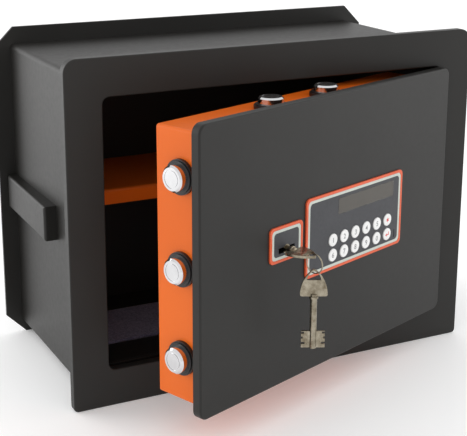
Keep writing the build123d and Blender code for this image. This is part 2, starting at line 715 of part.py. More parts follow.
BARREL_PROUD = 1.2
BARREL_SLOT = 3.2
SHANK_GAP = 0.1
SLOT_END_Y = KEY_TIP_Y + 1.5
with BuildPart() as lock_barrel:
    discs(facing_front(DOOR, CASE_Y[1]), key_axis, BARREL_RADIUS, CASE_Y[1] + BARREL_PROUD)
    slot_end = facing_front(DOOR, SLOT_END_Y)
    slot_length = SLOT_END_Y + 2 * BARREL_PROUD
    discs(slot_end, key_axis, SHANK_RADIUS + SHANK_GAP, slot_length, Mode.SUBTRACT)
    with BuildSketch(slot_end):
        with Locations((KEY_X, KEY_Z)):
            Rectangle(2 * KEY_SLOT_HALF, BARREL_SLOT)
    extrude(amount=slot_length, mode=Mode.SUBTRACT)
    stub_end = DRIVE_PINION_Y[1]
    discs(facing_front(DOOR, stub_end), key_axis, STUB_RADIUS, stub_end - CASE_Y[1])
save(lock_barrel, "lock_barrel")

MOTOR_RADIUS = 10.0
GEARBOX_RADIUS = 11.5
GEARBOX_Y = (33.0, 41.5)
SHAFT_END_Y = 46.0
MOTOR_EASE = 0.6
with BuildPart() as gear_motor:
    motor_axis = [(MOTOR_X, KEY_Z)]
    can = facing_front(DOOR, GEARBOX_Y[0])
    discs(can, motor_axis, MOTOR_RADIUS, GEARBOX_Y[0] - LEAF_THICK)
    discs(facing_front(DOOR, GEARBOX_Y[1]), motor_axis, GEARBOX_RADIUS, length(GEARBOX_Y))
    fillet(gear_motor.edges().filter_by(GeomType.CIRCLE), MOTOR_EASE)
    discs(facing_front(DOOR, SHAFT_END_Y), motor_axis, MOTOR_SHAFT, SHAFT_END_Y - GEARBOX_Y[1])
save(gear_motor, "gear_motor")

# ---------------------------------------------------------------- keys and ring
BIT_STEPS = ((22.8, 7.2), (27.0, 8.2), (31.6, 6.6))
STEP_WIDTH = 1.7
SHOULDER_UP = 0.55
SHOULDER_OUT = 0.78
BOW_EASE = 1.6
NECK_OVERLAP = 2.0
NECK_RADIUS = SHANK_RADIUS + 0.9
NECK_LENGTH = 1.8


def arch(half_width, low, high):
    """A pointed arch standing on a straight line, for the bow and for its window."""
    shoulder = low + SHOULDER_UP * (high - low)
    Line((-half_width, low), (half_width, low))
    ThreePointArc((half_width, low), (SHOULDER_OUT * half_width, shoulder), (0, high))
    ThreePointArc((0, high), (-SHOULDER_OUT * half_width, shoulder), (-half_width, low))


def double_bit_key(base, forward, across):
    """A key whose flat bow stands on its base point and points forward, with its shank behind."""
    flat = Plane(origin=base, x_dir=across, z_dir=Vector(*across).cross(Vector(*forward)))
    back = Plane(origin=base, x_dir=across, z_dir=-Vector(*forward))
    with BuildPart() as key:
        with BuildSketch(flat.offset(-BOW_THICK / 2)) as bow:
            with BuildLine():
                arch(BOW_HALF_WIDTH, 0, BOW_LENGTH)
            make_face()
            fillet(bow.vertices(), BOW_EASE)
            with BuildLine():
                arch(BOW_WINDOW_HALF, *BOW_WINDOW)
            make_face(mode=Mode.SUBTRACT)
        extrude(amount=BOW_THICK)
        shank_length = KEY_TIP_Y - BOW_BASE_Y + NECK_OVERLAP
        discs(back.offset(-NECK_OVERLAP), [(0, 0)], SHANK_RADIUS, shank_length)
        discs(back, [(0, 0)], NECK_RADIUS, NECK_LENGTH)
        bit_from = BIT_Y[0] - BOW_BASE_Y
        bit_to = BIT_Y[1] - BOW_BASE_Y
        with BuildSketch(flat.offset(-BIT_THICK / 2)):
            with Locations((0, -(bit_from + bit_to) / 2)):
                Rectangle(2 * BIT_REACH, bit_to - bit_from)
            for step_y, reach in BIT_STEPS:
                centres = [(side * (reach + BIT_REACH) / 2, BOW_BASE_Y - step_y) for side in (-1, 1)]
                with Locations(*centres):
                    Rectangle(BIT_REACH - reach, STEP_WIDTH, mode=Mode.SUBTRACT)
        extrude(amount=BIT_THICK)
    return key


bow_base = DOOR.from_local_coords(Vector(KEY_X, BOW_BASE_Y, KEY_Z))
save(double_bit_key(tuple(bow_base), tuple(-DOOR.y_dir), tuple(DOOR.x_dir)), "lock_key")

RING_RADIUS = 8.0
RING_WIRE = 0.7
RING_Y = -29.6
RING_DROP = 5.6
with BuildPart() as key_ring:
    ring_centre = DOOR.from_local_coords(Vector(KEY_X, RING_Y, KEY_Z - RING_DROP))
    with BuildSketch(Plane(origin=ring_centre, x_dir=DOOR.y_dir, z_dir=DOOR.z_dir)):
        with Locations((RING_RADIUS, 0)):
            Circle(RING_WIRE)
    revolve(axis=Axis(ring_centre, DOOR.x_dir))
save(key_ring, "key_ring")

# the spare key's bow hangs by its end bar on the ring's lowest point
SPARE_TURN = radians(46.4)
BAR_OVER_WIRE = 1.2
bar_z = KEY_Z - RING_DROP - RING_RADIUS + RING_WIRE + BAR_OVER_WIRE
spare_base = DOOR.from_local_coords(Vector(KEY_X, RING_Y, bar_z - BOW_WINDOW[1]))
spare_across = DOOR.x_dir * cos(SPARE_TURN) - DOOR.y_dir * sin(SPARE_TURN)
save(double_bit_key(tuple(spare_base), (0, 0, 1), tuple(spare_across)), "spare_key")

# ---------------------------------------------------------------- keypad
FRAME_PROUD = 1.5
TRIM_PROUD = 1.3
PANEL_Y = (-1.1, -0.1)
OUTER_RADIUS = 4.5
CORNER_STEP = 0.2
BORDER_EASE = 0.4


def border(x, z, outer_radius, width, proud):
    """A raised rectangular ring on the leaf's front face."""
    with BuildPart() as ring:
        rounded_plate(DOOR, x, z, outer_radius, (-proud, 0))
        inner_radius = outer_radius - CORNER_STEP * width
        rounded_plate(DOOR, inset(x, width), inset(z, width), inner_radius, (-proud, 0), Mode.SUBTRACT)
        fillet(ring.faces().sort_by(Axis(DOOR.origin, DOOR.y_dir))[0].edges(), BORDER_EASE)
    return ring


TRIM_RADIUS = OUTER_RADIUS - CORNER_STEP * BORDER
PANEL_RADIUS = TRIM_RADIUS - CORNER_STEP * TRIM
save(border(KEYPAD_X, KEYPAD_Z, OUTER_RADIUS, BORDER, FRAME_PROUD), "keypad_frame")
trim_x = inset(KEYPAD_X, BORDER)
trim_z = inset(KEYPAD_Z, BORDER)
save(border(trim_x, trim_z, TRIM_RADIUS, TRIM, TRIM_PROUD), "keypad_trim")

COLUMNS = [FIRST_BUTTON[0] + BUTTON_PITCH_X * k for k in range(BUTTON_COLUMNS)]
ROWS = [FIRST_BUTTON[1] - BUTTON_PITCH_Z * k for k in range(len(BUTTON_NAMES) // BUTTON_COLUMNS)]
BUTTONS = [(x, z) for z in ROWS for x in COLUMNS]
BUTTON_GAP = 0.25
WINDOW_CORNER = 1.0
GLASS_PROUD = 0.1
SCORE_X = (246.9, 247.9)
SCORE_Z = (90.8, 98.0)
with BuildPart() as keypad_panel:
    rounded_plate(DOOR, inset(trim_x, TRIM), inset(trim_z, TRIM), PANEL_RADIUS, PANEL_Y)
    thick = length(PANEL_Y)
    discs(facing_front(DOOR, PANEL_Y[1]), BUTTONS, BUTTON_RADIUS + BUTTON_GAP, thick, Mode.SUBTRACT)
    rounded_plate(DOOR, WINDOW_X, WINDOW_Z, WINDOW_CORNER, PANEL_Y, Mode.SUBTRACT)
    block(DOOR, SCORE_X, PANEL_Y, SCORE_Z, Mode.SUBTRACT)
save(keypad_panel, "keypad_panel")

with BuildPart() as display_window:
    glass_y = (PANEL_Y[0] - GLASS_PROUD, PANEL_Y[1])
    rounded_plate(DOOR, WINDOW_X, WINDOW_Z, WINDOW_CORNER, glass_y)
save(display_window, "display_window")

BOARD_Y = (2.2, 3.8)
DISPLAY_Y = (0.1, BOARD_Y[0])
with BuildPart() as display_module:
    block(DOOR, inset(WINDOW_X, 1.5), DISPLAY_Y, inset(WINDOW_Z, 0.8))
save(display_module, "display_module")

BOARD_X = (130.0, 250.0)
BOARD_Z = (90.0, 146.0)
DOME_RADIUS = 3.0
DOME_HEIGHT = 0.8
SOCKET_X = (236.0, 249.0)
SOCKET_Z = (112.0, 124.0)
with BuildPart() as keypad_board:
    block(DOOR, BOARD_X, BOARD_Y, BOARD_Z)
    discs(facing_front(DOOR, BOARD_Y[0]), BUTTONS, DOME_RADIUS, DOME_HEIGHT)
    block(DOOR, SOCKET_X, (BOARD_Y[1], POCKET_DEPTH), SOCKET_Z)
save(keypad_board, "keypad_board")


BUTTON_BACK = 0.0
BUTTON_CAP = 2.0
BUTTON_EASE = 0.6
FLANGE = 0.4
FLANGE_REACH = 0.8
STEM_END = 0.65
STEM_RADIUS = 1.8


def button(centre):
    """A domed push button with a retaining flange behind the panel and a short stem."""
    with BuildPart() as cap:
        discs(facing_front(DOOR, BUTTON_BACK), [centre], BUTTON_RADIUS, BUTTON_CAP)
        fillet(cap.faces().sort_by(Axis(DOOR.origin, DOOR.y_dir))[0].edges(), BUTTON_EASE)
        behind = facing_front(DOOR, BUTTON_BACK + FLANGE)
        discs(behind, [centre], BUTTON_RADIUS + FLANGE_REACH, FLANGE)
        discs(facing_front(DOOR, STEM_END), [centre], STEM_RADIUS, STEM_END - BUTTON_BACK)
    return cap


for button_name, button_centre in zip(BUTTON_NAMES, BUTTONS):
    save(button(button_centre), f"button_{button_name}")

# ---------------------------------------------------------------- key escutcheon
ESCUTCHEON_RADIUS = 4.0
save(border(ESCUTCHEON_X, ESCUTCHEON_Z, ESCUTCHEON_RADIUS, BORDER, FRAME_PROUD), "escutcheon_frame")
plate_trim_x = inset(ESCUTCHEON_X, BORDER)
plate_trim_z = inset(ESCUTCHEON_Z, BORDER)
plate_trim_radius = ESCUTCHEON_RADIUS - CORNER_STEP * BORDER
save(border(plate_trim_x, plate_trim_z, plate_trim_radius, TRIM, TRIM_PROUD), "escutcheon_trim")
with BuildPart() as escutcheon_plate:
    plate_radius = plate_trim_radius - CORNER_STEP * TRIM
    plate_y = (PANEL_Y[0], 0)
    rounded_plate(DOOR, inset(plate_trim_x, TRIM), inset(plate_trim_z, TRIM), plate_radius, plate_y)
    keyhole(plate_y, BARREL_RADIUS + KEY_SLOT_GAP)
save(escutcheon_plate, "escutcheon_plate")

# ---------------------------------------------------------------- electronics and batteries
PCB_Y = (20.0, 21.6)
PCB_X = (172.0, 296.0)
PCB_Z = (98.0, 168.0)
CHIP = ((184.0, 202.0), (140.0, 158.0), 2.4)
DRIVER = ((216.0, 240.0), (112.0, 126.0), 1.8)
PLUG = ((262.0, 286.0), (146.0, 158.0), 10.4)
CAPACITORS = [(256.0, 112.0), (272.0, 112.0)]
CAPACITOR_RADIUS = 5.0
CAPACITOR_HEIGHT = 12.4
POST_RADIUS = 2.5
with BuildPart() as control_board:
    block(DOOR, PCB_X, PCB_Y, PCB_Z)
    for span_x, span_z, height in (CHIP, DRIVER, PLUG):
        block(DOOR, span_x, (PCB_Y[1], PCB_Y[1] + height), span_z)
    can_top = facing_front(DOOR, PCB_Y[1] + CAPACITOR_HEIGHT)
    discs(can_top, CAPACITORS, CAPACITOR_RADIUS, CAPACITOR_HEIGHT)
    posts = [(x, z) for x in inset(PCB_X, 4.0) for z in inset(PCB_Z, 4.0)]
    discs(facing_front(DOOR, PCB_Y[0]), posts, POST_RADIUS, PCB_Y[0] - LEAF_THICK)
save(control_board, "control_board")

CELL_RADIUS = 7.1
CELL_LENGTH = 50.0
CELL_PITCH = 15.2
CELL_Y = 47.5
BOX_Y = (38.0, PAN_REAR_Y)
FOOT_RADIUS = 3.0
CELL_EASE = 0.8
CONTACT_RADIUS = 2.6
CONTACT_HEIGHT = 1.5
with BuildPart() as battery_box:
    block(DOOR, BATTERY_X, BOX_Y, BATTERY_Z)
    cell_space = (BOX_Y[0] + SHEET, BOX_Y[1])
    block(DOOR, inset(BATTERY_X, SHEET), cell_space, inset(BATTERY_Z, SHEET), Mode.SUBTRACT)
    feet = [(x, z) for x in inset(BATTERY_X, 6.0) for z in inset(BATTERY_Z, 8.0)]
    discs(facing_front(DOOR, BOX_Y[0]), feet, FOOT_RADIUS, BOX_Y[0] - LEAF_THICK)
save(battery_box, "battery_box")

with BuildPart() as battery_cells:
    rows = [(CELL_Y, middle(BATTERY_Z) + CELL_PITCH * (k - 1.5)) for k in range(4)]
    cell_start = middle(BATTERY_X) - CELL_LENGTH / 2
    discs(facing_right(DOOR, cell_start), rows, CELL_RADIUS, CELL_LENGTH)
    fillet(battery_cells.edges().filter_by(GeomType.CIRCLE), CELL_EASE)
    discs(facing_right(DOOR, cell_start + CELL_LENGTH), rows, CONTACT_RADIUS, CONTACT_HEIGHT)
save(battery_cells, "battery_cells")

LID_Y = (PAN_REAR_Y + SHEET, PAN_REAR_Y + 2 * SHEET)
LID_OVER = 3.0
LID_GAP = 0.3
LID_RADIUS = 5.0
LID_EASE = 0.5
LID_RIB = 0.9
LID_RIBS_Z = (26.5, 28.7, 30.9)
GRIP_HALF = 9.0
with BuildPart() as battery_lid:
    rounded_plate(DOOR, inset(HATCH_X, -LID_OVER), inset(HATCH_Z, -LID_OVER), LID_RADIUS, LID_Y)
    fillet(battery_lid.faces().sort_by(Axis(DOOR.origin, DOOR.y_dir))[-1].edges(), LID_EASE)
    plug_y = (PAN_REAR_Y, LID_Y[0])
    plug_radius = HATCH_RADIUS - LID_GAP
    rounded_plate(DOOR, inset(HATCH_X, LID_GAP), inset(HATCH_Z, LID_GAP), plug_radius, plug_y)
    grip = (middle(HATCH_X) - GRIP_HALF, middle(HATCH_X) + GRIP_HALF)
    for rib_z in LID_RIBS_Z:
        block(DOOR, grip, (LID_Y[1], LID_Y[1] + LID_RIB), (rib_z, rib_z + LID_RIB))
save(battery_lid, "battery_lid")
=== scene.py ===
"""Looks for the wall safe: finishes, carpet, keys and ring, button marks, stage, lights, camera."""

import json
import math

import bmesh
import bpy
from mathutils import Matrix, Vector, noise

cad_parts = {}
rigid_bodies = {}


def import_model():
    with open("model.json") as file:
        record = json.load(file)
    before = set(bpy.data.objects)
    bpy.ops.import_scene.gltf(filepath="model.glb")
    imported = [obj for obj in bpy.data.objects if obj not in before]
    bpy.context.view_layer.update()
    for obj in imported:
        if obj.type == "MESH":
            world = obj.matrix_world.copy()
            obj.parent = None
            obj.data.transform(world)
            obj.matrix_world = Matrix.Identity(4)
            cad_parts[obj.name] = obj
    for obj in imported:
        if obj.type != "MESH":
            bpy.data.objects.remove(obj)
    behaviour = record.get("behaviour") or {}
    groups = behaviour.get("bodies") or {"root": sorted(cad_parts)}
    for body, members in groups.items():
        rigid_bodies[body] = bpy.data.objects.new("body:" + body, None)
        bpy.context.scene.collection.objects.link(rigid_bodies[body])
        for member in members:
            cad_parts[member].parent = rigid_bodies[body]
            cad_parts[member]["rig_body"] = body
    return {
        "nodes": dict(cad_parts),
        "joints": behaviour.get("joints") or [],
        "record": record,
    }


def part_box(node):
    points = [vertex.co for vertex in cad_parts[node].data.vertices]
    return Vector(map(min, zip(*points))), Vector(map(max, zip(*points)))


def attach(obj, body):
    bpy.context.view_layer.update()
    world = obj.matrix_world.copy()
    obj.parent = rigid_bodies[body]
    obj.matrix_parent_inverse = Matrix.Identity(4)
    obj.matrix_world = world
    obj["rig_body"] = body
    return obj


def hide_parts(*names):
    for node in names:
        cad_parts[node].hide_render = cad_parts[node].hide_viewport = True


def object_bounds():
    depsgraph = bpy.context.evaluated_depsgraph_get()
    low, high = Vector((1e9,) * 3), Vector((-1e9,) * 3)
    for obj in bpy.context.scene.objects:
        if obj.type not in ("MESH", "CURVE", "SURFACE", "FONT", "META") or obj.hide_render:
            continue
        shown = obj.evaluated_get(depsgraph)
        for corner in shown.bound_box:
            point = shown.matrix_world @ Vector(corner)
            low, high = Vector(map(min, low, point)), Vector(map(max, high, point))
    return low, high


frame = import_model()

CAD_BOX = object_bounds()
MM = 0.001

# ---------------------------------------------------------------- directions read from the record
JOINTS = {joint["name"]: joint for joint in frame["joints"]}
OUT = Vector(JOINTS["key_pull"]["axis"])
RIGHT = -Vector(JOINTS["left_bolt_slide"]["axis"])
UP = Vector((0, 0, 1))


def middle_of(node):
    low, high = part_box(node)
    return (low + high) / 2


def door_face_matrix(point):
    """A frame standing on the door's face at a point: x to the right, y up, z outwards."""
    turn = Matrix((RIGHT, UP, OUT)).transposed().to_4x4()
    return Matrix.Translation(point) @ turn


def outermost(node):
    """How far a door node reaches along the outward direction."""
    return max(vertex.co.dot(OUT) for vertex in frame["nodes"][node].data.vertices)


def on_face(node, right=0.0, up=0.0, proud=0.0):
    """A point in front of a node's middle, standing proud of its outermost surface."""
    centre = middle_of(node)
    lift = outermost(node) - centre.dot(OUT) + proud
    return centre + OUT * lift + RIGHT * right + UP * up


# ---------------------------------------------------------------- material building
class Finish:
    """A node material under construction, with object coordinates as its pattern space."""

    def __init__(self, name, rough=0.5, metal=0.0, specular=0.5, coat=0.0, coat_rough=0.1, sheen=0.0):
        self.mat = bpy.data.materials.new(name)
        self.mat.use_nodes = True
        self.nodes = self.mat.node_tree.nodes
        self.links = self.mat.node_tree.links
        self.shader = self.nodes["Principled BSDF"]
        self.shader.inputs["Roughness"].default_value = rough
        self.shader.inputs["Metallic"].default_value = metal
        self.shader.inputs["Specular IOR Level"].default_value = specular
        self.shader.inputs["Coat Weight"].default_value = coat
        self.shader.inputs["Coat Roughness"].default_value = coat_rough
        self.shader.inputs["Sheen Weight"].default_value = sheen
        self.place = self.nodes.new("ShaderNodeTexCoord").outputs["Object"]
        self.normal = None

    def stretched(self, scale):
        """Pattern space stretched along each axis, for grain that runs one way."""
        mapping = self.nodes.new("ShaderNodeMapping")
        mapping.inputs["Scale"].default_value = scale
        self.links.new(self.place, mapping.inputs["Vector"])
        return mapping.outputs["Vector"]

    def noise(self, scale, detail=3.0, rough=0.55, space=None):
        node = self.nodes.new("ShaderNodeTexNoise")
        node.inputs["Scale"].default_value = scale
        node.inputs["Detail"].default_value = detail
        node.inputs["Roughness"].default_value = rough
        self.links.new(space or self.place, node.inputs["Vector"])
        return node.outputs["Fac"]

    def cells(self, scale, space=None):
        node = self.nodes.new("ShaderNodeTexVoronoi")
        node.inputs["Scale"].default_value = scale
        self.links.new(space or self.place, node.inputs["Vector"])
        return node.outputs["Distance"]

    def spread(self, value, low, high, start=0.3, end=0.7):
        """A value remapped from start..end to low..high."""
        node = self.nodes.new("ShaderNodeMapRange")
        node.inputs["From Min"].default_value = start
        node.inputs["From Max"].default_value = end
        node.inputs["To Min"].default_value = low
        node.inputs["To Max"].default_value = high
        self.links.new(value, node.inputs["Value"])
        return node.outputs["Result"]

    def blend(self, factor, first, second):
        """A colour mix; each side is a colour or the output of an earlier node."""
        node = self.nodes.new("ShaderNodeMix")
        node.data_type = "RGBA"
        for socket, value in ((node.inputs[6], first), (node.inputs[7], second)):
            if isinstance(value, tuple):
                socket.default_value = (*value, 1.0)
            else:
                self.links.new(value, socket)
        self.links.new(factor, node.inputs[0])
        return node.outputs[2]

    def colour(self, output):
        self.links.new(output, self.shader.inputs["Base Color"])

    def roughness(self, output):
        self.links.new(output, self.shader.inputs["Roughness"])

    def bump(self, height, distance, strength=1.0):
        """Adds relief; several calls stack."""
        node = self.nodes.new("ShaderNodeBump")
        node.inputs["Distance"].default_value = distance
        node.inputs["Strength"].default_value = strength
        self.links.new(height, node.inputs["Height"])
        if self.normal is not None:
            self.links.new(self.normal, node.inputs["Normal"])
        self.normal = node.outputs["Normal"]
        self.links.new(self.normal, self.shader.inputs["Normal"])


def powder_coat(name, dark, light, rough, specular, grain=1500.0, depth=0.008 * MM):
    """Baked powder paint: orange-peel relief, a fine speckle and a slow drift in tone."""
    made = Finish(name, specular=specular)
    peel = made.noise(grain, 2.0)
    drift = made.noise(9.0, 2.0)
    speckle = made.noise(2600.0, 1.0)
    tone = made.blend(made.spread(drift, 0.0, 1.0, 0.35, 0.65), dark, light)
    fleck = tuple(min(1.0, 1.5 * channel + 0.01) for channel in light)
    made.colour(made.blend(made.spread(speckle, 0.0, 0.12, 0.5, 0.8), tone, fleck))
    made.roughness(made.spread(made.noise(220.0, 3.0), rough - 0.02, rough + 0.03))
    made.bump(peel, depth, 0.6)
    return made.mat


def polished_chrome():
    """Chrome plate with faint smudges and lathe rings."""
    made = Finish("chrome_plate", metal=1.0)
    smudge = made.noise(70.0, 4.0)
    made.colour(made.blend(made.spread(smudge, 0.0, 1.0), (0.60, 0.60, 0.61), (0.72, 0.72, 0.73)))
    made.roughness(made.spread(smudge, 0.07, 0.17))
    made.bump(made.noise(900.0, 2.0), 0.004 * MM, 0.4)
    return made.mat


def plated_steel(name, first, second, rough, grain=(40.0, 40.0, 900.0)):
    """Plated steel with a drawn grain, cloudy passivation and fine scratches."""
    made = Finish(name, metal=1.0)
    cloud = made.noise(45.0, 4.0)
    lines = made.noise(3.0, 4.0, space=made.stretched(grain))
    tone = made.blend(made.spread(cloud, 0.0, 1.0), first, second)
    made.colour(made.blend(made.spread(lines, 0.0, 0.25), tone, tuple(0.7 * c for c in first)))
    made.roughness(made.spread(lines, rough - 0.07, rough + 0.12))
    made.bump(lines, 0.012 * MM, 0.5)
    return made.mat


def key_nickel():
    """Worn nickel: brighter on the high places, with small dings and warm tarnish."""
    made = Finish("key_nickel", metal=1.0)
    tarnish = made.noise(160.0, 5.0, 0.6)
    scratch = made.noise(4.0, 5.0, space=made.stretched((900.0, 260.0, 90.0)))
    tone = made.blend(made.spread(tarnish, 0.0, 1.0, 0.35, 0.7), (0.40, 0.36, 0.28), (0.17, 0.14, 0.095))
    made.colour(tone)
    made.roughness(made.spread(scratch, 0.2, 0.42))
    made.bump(scratch, 0.012 * MM, 0.5)
    made.bump(made.noise(700.0, 3.0), 0.02 * MM, 0.4)
    return made.mat


def moulded_plastic(name, first, second, rough, grain=1800.0, coat=0.0):
    """Injection-moulded plastic with a spark-eroded grain."""
    made = Finish(name, coat=coat, coat_rough=0.25)
    cloud = made.noise(60.0, 3.0)
    made.colour(made.blend(made.spread(cloud, 0.0, 1.0), first, second))
    made.roughness(made.spread(made.noise(400.0, 3.0), rough - 0.05, rough + 0.07))
    made.bump(made.noise(grain, 2.0), 0.02 * MM, 0.5)
    return made.mat


def smoked_window():
    """Smoked polycarbonate over the display, with hairline scratches."""
    made = Finish("smoked_window_clear", specular=0.55, coat=0.4, coat_rough=0.05)
    haze = made.noise(90.0, 3.0)
    made.colour(made.blend(made.spread(haze, 0.0, 1.0), (0.056, 0.047, 0.035), (0.066, 0.056, 0.042)))
    made.roughness(made.spread(made.noise(5.0, 4.0, space=made.stretched((60, 60, 1400))), 0.12, 0.24))
    made.bump(haze, 0.004 * MM, 0.3)
    made.shader.inputs["Alpha"].default_value = 0.78
    return made.mat


def carpet_felt():
    """Needle-felt carpet: tangled blue-grey fibres with paler flecks and a soft sheen."""
    made = Finish("carpet_felt", rough=0.95, specular=0.15, sheen=0.35)
    fibre = made.noise(2.4, 5.0, 0.7, made.stretched((240.0, 150.0, 240.0)))
    tangle = made.noise(520.0, 4.0, 0.7)
    patch = made.noise(35.0, 3.0)
    base = made.blend(made.spread(patch, 0.0, 1.0), (0.085, 0.078, 0.145), (0.150, 0.138, 0.225))
    woven = made.blend(made.spread(fibre, 0.0, 0.7, 0.42, 0.68), base, (0.34, 0.32, 0.44))
    made.colour(made.blend(made.spread(tangle, 0.0, 0.6, 0.45, 0.75), woven, (0.035, 0.032, 0.060)))
    made.bump(tangle, 0.5 * MM, 0.9)
    made.bump(fibre, 0.4 * MM, 0.6)
    return made.mat


def solder_mask():
    """A circuit board: tracks showing under the green mask."""
    made = Finish("solder_mask", rough=0.32, coat=0.2)
    tracks = made.cells(420.0)
    traced = made.spread(tracks, 0.0, 1.0, 0.2, 0.55)
    made.colour(made.blend(traced, (0.02, 0.17, 0.07), (0.012, 0.09, 0.04)))
    made.roughness(made.spread(made.noise(300.0), 0.25, 0.42))
    made.bump(tracks, 0.03 * MM, 0.6)
    return made.mat


FINISHES = {
    "graphite_coat": powder_coat(
        "graphite_powder", (0.0145, 0.0137, 0.0124), (0.0175, 0.0166, 0.0151), 0.44, 0.28
    ),
    "orange_coat": powder_coat(
        "orange_powder", (0.70, 0.120, 0.006), (0.76, 0.138, 0.009), 0.38, 0.25, 900.0
    ),
    "chrome_steel": polished_chrome(),
    "zinc_steel": plated_steel("zinc_plate", (0.55, 0.55, 0.54), (0.66, 0.65, 0.60), 0.34),
    "nickel_key": key_nickel(),
    "black_plastic": moulded_plastic("black_moulding", (0.008, 0.008, 0.009), (0.016, 0.016, 0.017), 0.36),
    "orange_trim": moulded_plastic(
        "orange_border", (0.66, 0.088, 0.022), (0.72, 0.10, 0.027), 0.40, 1200.0
    ),
    "pale_trim": moulded_plastic("pale_border", (0.50, 0.54, 0.49), (0.56, 0.59, 0.53), 0.45),
    "panel_film": moulded_plastic(
        "panel_film_grain", (0.028, 0.029, 0.034), (0.034, 0.035, 0.041), 0.48, 2400.0
    ),
    "smoked_window": smoked_window(),
    "button_white": moulded_plastic(
        "button_white_cap", (0.78, 0.78, 0.77), (0.85, 0.85, 0.84), 0.34, 1000.0, 0.15
    ),
    "carpet": carpet_felt(),
    "circuit_board": solder_mask(),
    "brass_gear": plated_steel("machined_brass", (0.72, 0.50, 0.20), (0.80, 0.60, 0.28), 0.28),
    "cell_jacket": moulded_plastic("cell_sleeve", (0.10, 0.11, 0.13), (0.15, 0.16, 0.18), 0.3, 900.0, 0.3),
}
for part in frame["record"]["subparts"]:
    mesh = frame["nodes"][part["node"]].data
    mesh.materials.clear()
    mesh.materials.append(FINISHES[part["material_slot"]])


# ---------------------------------------------------------------- pieces
def add_piece(name, mesh, material, body, smooth=40.0):
    """Links a mesh as a piece, with its finish and the body that it rides on."""
    piece = bpy.data.objects.new(name, mesh)
    bpy.context.scene.collection.objects.link(piece)
    mesh.materials.clear()
    mesh.materials.append(material)
    for face in mesh.polygons:
        face.use_smooth = True
    mesh.set_sharp_from_angle(angle=math.radians(smooth))
    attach(piece, body)
    return piece


def applied(piece):
    """Applies a piece's modifiers and keeps the result as its mesh."""
    graph = bpy.context.evaluated_depsgraph_get()
    piece.data = bpy.data.meshes.new_from_object(piece.evaluated_get(graph))
    piece.modifiers.clear()


def eased_copy(node, width, segments=2):
    """A new mesh on a node's shape, with its sharp edges eased by a small round."""
    cleaner = bmesh.new()
    cleaner.from_mesh(frame["nodes"][node].data)
    bmesh.ops.remove_doubles(cleaner, verts=cleaner.verts, dist=0.0005 * MM)
    bmesh.ops.dissolve_limit(
        cleaner, angle_limit=math.radians(0.6), verts=cleaner.verts, edges=cleaner.edges
    )
    mesh = bpy.data.meshes.new(f"{node}_eased")
    cleaner.to_mesh(mesh)
    cleaner.free()
    slot_name = next(p["material_slot"] for p in frame["record"]["subparts"] if p["node"] == node)
    body = frame["nodes"][node]["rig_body"]
    piece = add_piece(f"{node}_eased", mesh, FINISHES[slot_name], body)
    bevel = piece.modifiers.new("ease", "BEVEL")
    bevel.width = width
    bevel.segments = segments
    bevel.limit_method = "ANGLE"
    bevel.angle_limit = math.radians(50)
    bevel.harden_normals = False
    applied(piece)
    piece.data.set_sharp_from_angle(angle=math.radians(40))
    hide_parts(node)
    return piece


def carpet_mat():
    """The floor mat as a thin felt sheet with an uneven pile and slightly ragged edges."""
    low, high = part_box("floor_mat")
    step = 1.6 * MM
    columns = int((high.x - low.x) / step)
    rows = int((high.y - low.y) / step)
    builder = bmesh.new()
    grid = []
    for row in range(rows + 1):
        line = []
        for column in range(columns + 1):
            x = low.x + (high.x - low.x) * column / columns
            y = low.y + (high.y - low.y) * row / rows
            edge = min(column, row, columns - column, rows - row)
            inset = 0.8 * MM if edge == 0 else 0.0
            ragged = noise.noise(Vector((x, y, 0)) * 260) * 0.5 * MM if edge == 0 else 0.0
            x += (inset + ragged) * (1 if column == 0 else -1 if column == columns else 0)
            y += (inset + ragged) * (1 if row == 0 else -1 if row == rows else 0)
            pile = noise.noise(Vector((x, y, 3)) * 420) * 0.16 * MM
            rounding = (0.5 if edge == 0 else 0.12 if edge == 1 else 0.0) * MM
            line.append(builder.verts.new((x, y, high.z - 0.25 * MM + pile - rounding)))
        grid.append(line)
    top = []
    for row in range(rows):
        for column in range(columns):
            near = grid[row][column : column + 2]
            far = grid[row + 1][column : column + 2]
            top.append(builder.faces.new((near[0], near[1], far[1], far[0])))
    rim = bmesh.ops.extrude_face_region(builder, geom=top)
    for element in rim["geom"]:
        if isinstance(element, bmesh.types.BMVert):
            element.co.z = low.z
    bmesh.ops.recalc_face_normals(builder, faces=builder.faces)
    mesh = bpy.data.meshes.new("carpet_mat")
    builder.to_mesh(mesh)
    builder.free()
    mat = add_piece("carpet_mat", mesh, FINISHES["carpet"], "cabinet", 180.0)
    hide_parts("floor_mat")


def split_ring():
    """The key ring as two close turns of one wire, with stepped ends."""
    low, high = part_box("key_ring")
    wire = 0.36 * MM
    turn_gap = 0.74 * MM
    centre = (low + high) / 2
    radius = (high.z - low.z) / 2 - 0.7 * MM
    along = 96
    around = 12
    turns = 1.94
    builder = bmesh.new()
    loops = []
    for k in range(int(along * turns) + 1):
        angle = 2 * math.pi * k / along
        travel = k / along - turns / 2
        side = RIGHT * max(-0.5, min(0.5, travel)) * turn_gap
        radial = -OUT * math.cos(angle) + UP * math.sin(angle)
        point = centre + radial * radius + side
        loops.append(
            [
                builder.verts.new(
                    point
                    + radial * wire * math.cos(2 * math.pi * j / around)
                    + RIGHT * wire * math.sin(2 * math.pi * j / around)
                )
                for j in range(around)
            ]
        )
    for first, second in zip(loops, loops[1:]):
        for j in range(around):
            k = (j + 1) % around
            builder.faces.new((first[j], first[k], second[k], second[j]))
    builder.faces.new(loops[0])
    builder.faces.new(tuple(reversed(loops[-1])))
    bmesh.ops.recalc_face_normals(builder, faces=builder.faces)
    mesh = bpy.data.meshes.new("split_ring")
    builder.to_mesh(mesh)
    builder.free()
    ring = add_piece("split_ring", mesh, FINISHES["nickel_key"], "ring")
    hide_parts("key_ring")


